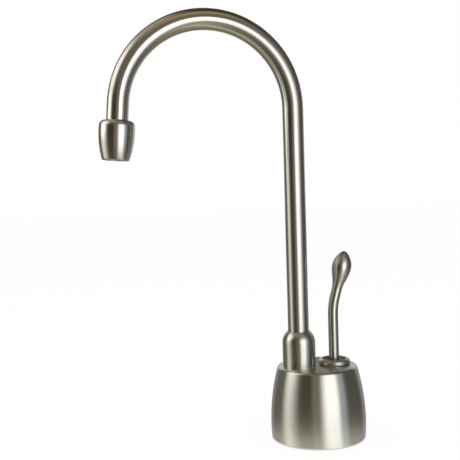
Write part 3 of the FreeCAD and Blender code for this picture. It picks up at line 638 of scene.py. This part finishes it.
def moulded(name, tones, dull, grain_pitch, grain_depth):
    """A moulded material: patches of tone and gloss, and the mould's fine grain as relief."""
    material, tree = new_tree(name)
    spot = add_node(tree, "ShaderNodeTexCoord").outputs["Object"]
    patches = add_node(tree, "ShaderNodeTexNoise", {"Vector": spot, "Scale": PATCHES_PER_M, "Detail": 4.0})
    grain = add_node(tree, "ShaderNodeTexNoise", {"Vector": spot, "Scale": 1 / grain_pitch, "Detail": 2.0})
    tint = add_node(tree, "ShaderNodeMix", {
        0: patches.outputs[0], 6: linear(tones[0]), 7: linear(tones[1])}, data_type="RGBA")
    gloss = add_node(tree, "ShaderNodeMapRange", {
        0: patches.outputs[0], 1: PATCH_LEAST, 2: PATCH_MOST, 3: dull[0], 4: dull[1]})
    bump = add_node(tree, "ShaderNodeBump", {"Height": grain.outputs[0], "Distance": grain_depth, "Strength": 1.0})
    body = add_node(tree, "ShaderNodeBsdfPrincipled", {
        "Base Color": tint.outputs[2], "Roughness": gloss.outputs[0], "Normal": bump.outputs[0], "IOR": MOULDED_IOR})
    add_node(tree, "ShaderNodeOutputMaterial", {"Surface": body.outputs[0]})
    return material


# Rubber is dark and matt, with a grain of 0.4 mm. Acetal is milky and smooth, with a fainter grain of 0.6 mm.
RUBBER_DULL, RUBBER_GRAIN = (0.55, 0.72), (0.0004, 0.000012)
ACETAL_DULL, ACETAL_GRAIN = (0.36, 0.46), (0.0006, 0.000005)
rubber = moulded("rubber_moulded_black", ("#191918", "#2A2A28"), RUBBER_DULL, *RUBBER_GRAIN)
white_acetal = moulded("acetal_moulded_white", ("#E6E5DF", "#EFEEE9"), ACETAL_DULL, *ACETAL_GRAIN)
grey_acetal = moulded("acetal_moulded_grey", ("#7F8286", "#8B8E91"), ACETAL_DULL, *ACETAL_GRAIN)
plain = {
    rubber: ("deck_gasket", "rubber_deck_washer", "plug_o_ring", "stem_o_ring", "spout_o_rings", "inlet_o_ring",
             "outlet_gasket", "valve_disc"),
    white_acetal: ("spout_bush", "spout_thrust_washer", "stream_straightener", "inlet_fitting"),
    grey_acetal: ("inlet_collet",)}
for material, names in plain.items():
    for name in names:
        nodes[name].data.materials[0] = material
print("moulded finishes on", sum(len(names) for names in plain.values()), "pieces")

# %% [markdown]
# ## A helix for the thread and the spring
#
# A screw thread is one ridge wound along a helix, and a spring is one wire wound along another. Both could be
# swept in mesh code, turn by turn. Geometry Nodes need only a spiral curve and the section that it carries, and
# one tree with named inputs then makes both.

# %% The tree that winds a section
TURN_STEPS = 48


def geometry_tree(name, sockets):
    """A Geometry Nodes tree with named inputs and one geometry output."""
    group = bpy.data.node_groups.new(name, "GeometryNodeTree")
    group.interface.new_socket("Geometry", in_out="OUTPUT", socket_type="NodeSocketGeometry")
    for label, kind in sockets:
        group.interface.new_socket(label, in_out="INPUT", socket_type=kind)
    return group, group.nodes.new("NodeGroupInput"), group.nodes.new("NodeGroupOutput")


winding, entry, exit_node = geometry_tree("wound_helix", [
    ("Turns", "NodeSocketFloat"), ("Radius", "NodeSocketFloat"), ("Height", "NodeSocketFloat"),
    ("Thickness", "NodeSocketFloat"), ("Sides", "NodeSocketInt"), ("Start", "NodeSocketVector"),
    ("Metal", "NodeSocketMaterial")])
helix = add_node(winding, "GeometryNodeCurveSpiral", {
    "Resolution": TURN_STEPS, "Rotations": entry.outputs["Turns"], "Start Radius": entry.outputs["Radius"],
    "End Radius": entry.outputs["Radius"], "Height": entry.outputs["Height"]})
upright = add_node(winding, "GeometryNodeSetCurveNormal", {"Curve": helix.outputs[0]}, mode="Z_UP")
section = add_node(winding, "GeometryNodeCurvePrimitiveCircle", {
    "Resolution": entry.outputs["Sides"], "Radius": entry.outputs["Thickness"]})
ridge = add_node(winding, "GeometryNodeCurveToMesh", {
    "Curve": upright.outputs[0], "Profile Curve": section.outputs[0], "Fill Caps": True})
placed = add_node(winding, "GeometryNodeTransform", {
    "Geometry": ridge.outputs[0], "Translation": entry.outputs["Start"]})
real = add_node(winding, "GeometryNodeRealizeInstances", {"Geometry": placed.outputs[0]})
coated = add_node(winding, "GeometryNodeSetMaterial", {
    "Geometry": real.outputs[0], "Material": entry.outputs["Metal"]})
winding.links.new(coated.outputs[0], exit_node.inputs[0])
print("helix tree of", len(winding.nodes), "nodes,", TURN_STEPS, "steps a turn")

# %% [markdown]
# ## The thread of the shank
#
# Under the deck the shank is a 7/16 inch screw with 24 threads to the inch. The helix carries a small square that
# stands on its corner, whose outer corner is the crest, and the ridge sits on a core with the water way through
# it. The crest stays at the solid's radius, so the nut and the fitting still clear it.

# %% Wind the thread
THREAD_PITCH = 0.0254 / 24
CREST_RADIUS = 0.00555
BORE_RADIUS = 0.0033
RIDGE = THREAD_PITCH / 2
RIDGE_SIDES = 4
CORE_STEPS = 64


def grown_mesh(name, group, values):
    """The plain mesh that a tree makes from its named inputs."""
    holder = new_piece(name, bpy.data.meshes.new(name + "_seed"))
    modifier = holder.modifiers.new(name, "NODES")
    modifier.node_group = group
    for item in group.interface.items_tree:
        if item.in_out == "INPUT":
            modifier[item.identifier] = values[item.name]
    bpy.context.view_layer.update()
    mesh = bpy.data.meshes.new_from_object(holder.evaluated_get(bpy.context.evaluated_depsgraph_get()))
    bpy.data.objects.remove(holder)
    return mesh


low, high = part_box("mounting_shank")
shank_metal = nodes["mounting_shank"].data.materials[0]
core_radius = CREST_RADIUS - RIDGE
length = high[2] - low[2] - 2 * RIDGE
thread = grown_mesh("thread_ridge", winding, {
    "Turns": length / THREAD_PITCH, "Radius": core_radius, "Height": length, "Thickness": RIDGE,
    "Sides": RIDGE_SIDES, "Start": (0.0, 0.0, low[2] + RIDGE), "Metal": shank_metal})

form = bmesh.new()
angles = [2 * math.pi * i / CORE_STEPS for i in range(CORE_STEPS)]
corners = [(BORE_RADIUS, low[2]), (core_radius, low[2]), (core_radius, high[2]), (BORE_RADIUS, high[2])]
rings = [[form.verts.new((r * math.cos(a), r * math.sin(a), z)) for a in angles] for r, z in corners]
for inner, outer in zip(rings, rings[1:] + rings[:1]):
    for i in range(CORE_STEPS):
        j = (i + 1) % CORE_STEPS
        form.faces.new((inner[i], inner[j], outer[j], outer[i]))
form.from_mesh(thread)
bmesh.ops.recalc_face_normals(form, faces=form.faces)
shank = new_piece("threaded_shank", mesh_from("threaded_shank", form), shank_metal)
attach(shank, "root")
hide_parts("mounting_shank")
print("thread of", round(length / THREAD_PITCH, 1), "turns,", len(shank.data.polygons), "faces")

# %% [markdown]
# ## The return spring
#
# A coil of steel wire in the valve pushes the plunger up, so that the water stops when the lever is let go. The
# same helix makes it, with a round wire in place of the square ridge. When the lever tilts, the plunger comes down
# on the coil. The plug and the plunger each leave it the same small clearance.

# %% Wind the spring
WIRE_RADIUS = 0.0004
WIRE_SIDES = 12
COIL_TURNS = 3.0

low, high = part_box("valve_return_spring")
middle = [(a + b) / 2 for a, b in zip(low, high)]
coil_length = high[2] - low[2]
coil_metal = nodes["valve_return_spring"].data.materials[0]
coil = new_piece("wound_spring", grown_mesh("spring_wire", winding, {
    "Turns": COIL_TURNS, "Radius": (high[0] - low[0]) / 2 - WIRE_RADIUS, "Height": coil_length - 2 * WIRE_RADIUS,
    "Thickness": WIRE_RADIUS, "Sides": WIRE_SIDES, "Start": (middle[0], middle[1], low[2] + WIRE_RADIUS),
    "Metal": coil_metal}))
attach(coil, "root")
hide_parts("valve_return_spring")
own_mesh(coil)

# %% [markdown]
# ## Grip ribs on the fitting
#
# The push-fit inlet is screwed on by hand, and its barrel has upright ribs for the fingers. One rib is a thin
# rounded bar that narrows at its ends, and Geometry Nodes set copies of it round a circle, so that their number
# and size can be changed in one place.

# %% The tree that sets ribs round a barrel
RIB_STEPS = 24
RIB_SIDES = 12
TAPER_FROM = 0.44
TIP_SHARE = 0.3

group, entry, exit_node = geometry_tree("grip_ribs", [
    ("Count", "NodeSocketInt"), ("Barrel", "NodeSocketFloat"), ("Length", "NodeSocketFloat"),
    ("Width", "NodeSocketFloat"), ("Middle", "NodeSocketVector"), ("Plastic", "NodeSocketMaterial")])
hoop = add_node(group, "GeometryNodeMeshCircle", {
    "Vertices": entry.outputs["Count"], "Radius": entry.outputs["Barrel"]})
line = add_node(group, "GeometryNodeCurvePrimitiveLine", {"Start": (0, 0, -0.5), "End": (0, 0, 0.5)})
line = add_node(group, "GeometryNodeResampleCurve", {"Curve": line.outputs[0], "Count": RIB_STEPS})
factor = add_node(group, "GeometryNodeSplineParameter")
inwards = add_node(group, "ShaderNodeMath", {0: factor.outputs["Factor"], 1: 0.5}, operation="SUBTRACT")
inwards = add_node(group, "ShaderNodeMath", {0: inwards.outputs[0]}, operation="ABSOLUTE")
taper = add_node(group, "ShaderNodeMapRange", {0: inwards.outputs[0], 1: TAPER_FROM, 2: 0.5, 3: 1.0, 4: TIP_SHARE})
half = add_node(group, "ShaderNodeMath", {0: entry.outputs["Width"], 1: 0.5}, operation="MULTIPLY")
width = add_node(group, "ShaderNodeMath", {0: half.outputs[0], 1: taper.outputs[0]}, operation="MULTIPLY")
tall = add_node(group, "ShaderNodeCombineXYZ", {0: 1.0, 1: 1.0, 2: entry.outputs["Length"]})
line = add_node(group, "GeometryNodeTransform", {"Geometry": line.outputs[0], "Scale": tall.outputs[0]})
ring = add_node(group, "GeometryNodeCurvePrimitiveCircle", {"Resolution": RIB_SIDES, "Radius": 1.0})
rib = add_node(group, "GeometryNodeCurveToMesh", {
    "Curve": line.outputs[0], "Profile Curve": ring.outputs[0], "Scale": width.outputs[0], "Fill Caps": True})
copies = add_node(group, "GeometryNodeInstanceOnPoints", {"Points": hoop.outputs[0], "Instance": rib.outputs[0]})
placed = add_node(group, "GeometryNodeTransform", {
    "Geometry": copies.outputs[0], "Translation": entry.outputs["Middle"]})
real = add_node(group, "GeometryNodeRealizeInstances", {"Geometry": placed.outputs[0]})
coated = add_node(group, "GeometryNodeSetMaterial", {
    "Geometry": real.outputs[0], "Material": entry.outputs["Plastic"]})
group.links.new(coated.outputs[0], exit_node.inputs[0])
print("rib tree of", len(group.nodes), "nodes")

# %% Set the ribs round the barrel
RIB_COUNT = 28
RIB_WIDTH = 0.0009
RIB_BURIED = 0.0002
RIB_SHARE = 0.6

low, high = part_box("inlet_fitting")
barrel = high[0]
ribs = new_piece("fitting_ribs", grown_mesh("rib_mesh", group, {
    "Count": RIB_COUNT, "Barrel": barrel - RIB_BURIED, "Length": RIB_SHARE * (high[2] - low[2]), "Width": RIB_WIDTH,
    "Middle": (0.0, 0.0, (low[2] + high[2]) / 2), "Plastic": white_acetal}))
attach(ribs, "root")
print(RIB_COUNT, "ribs on the fitting,", len(ribs.data.polygons), "faces")

# %% [markdown]
# ## The sizes
#
# The pieces that this lesson adds lie within the faucet's own size. The box of all that is there now is printed,
# in millimetres.

# %% Print the size of all that is there
low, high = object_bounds()
print("visual box in mm:", size_in_mm(low, high))
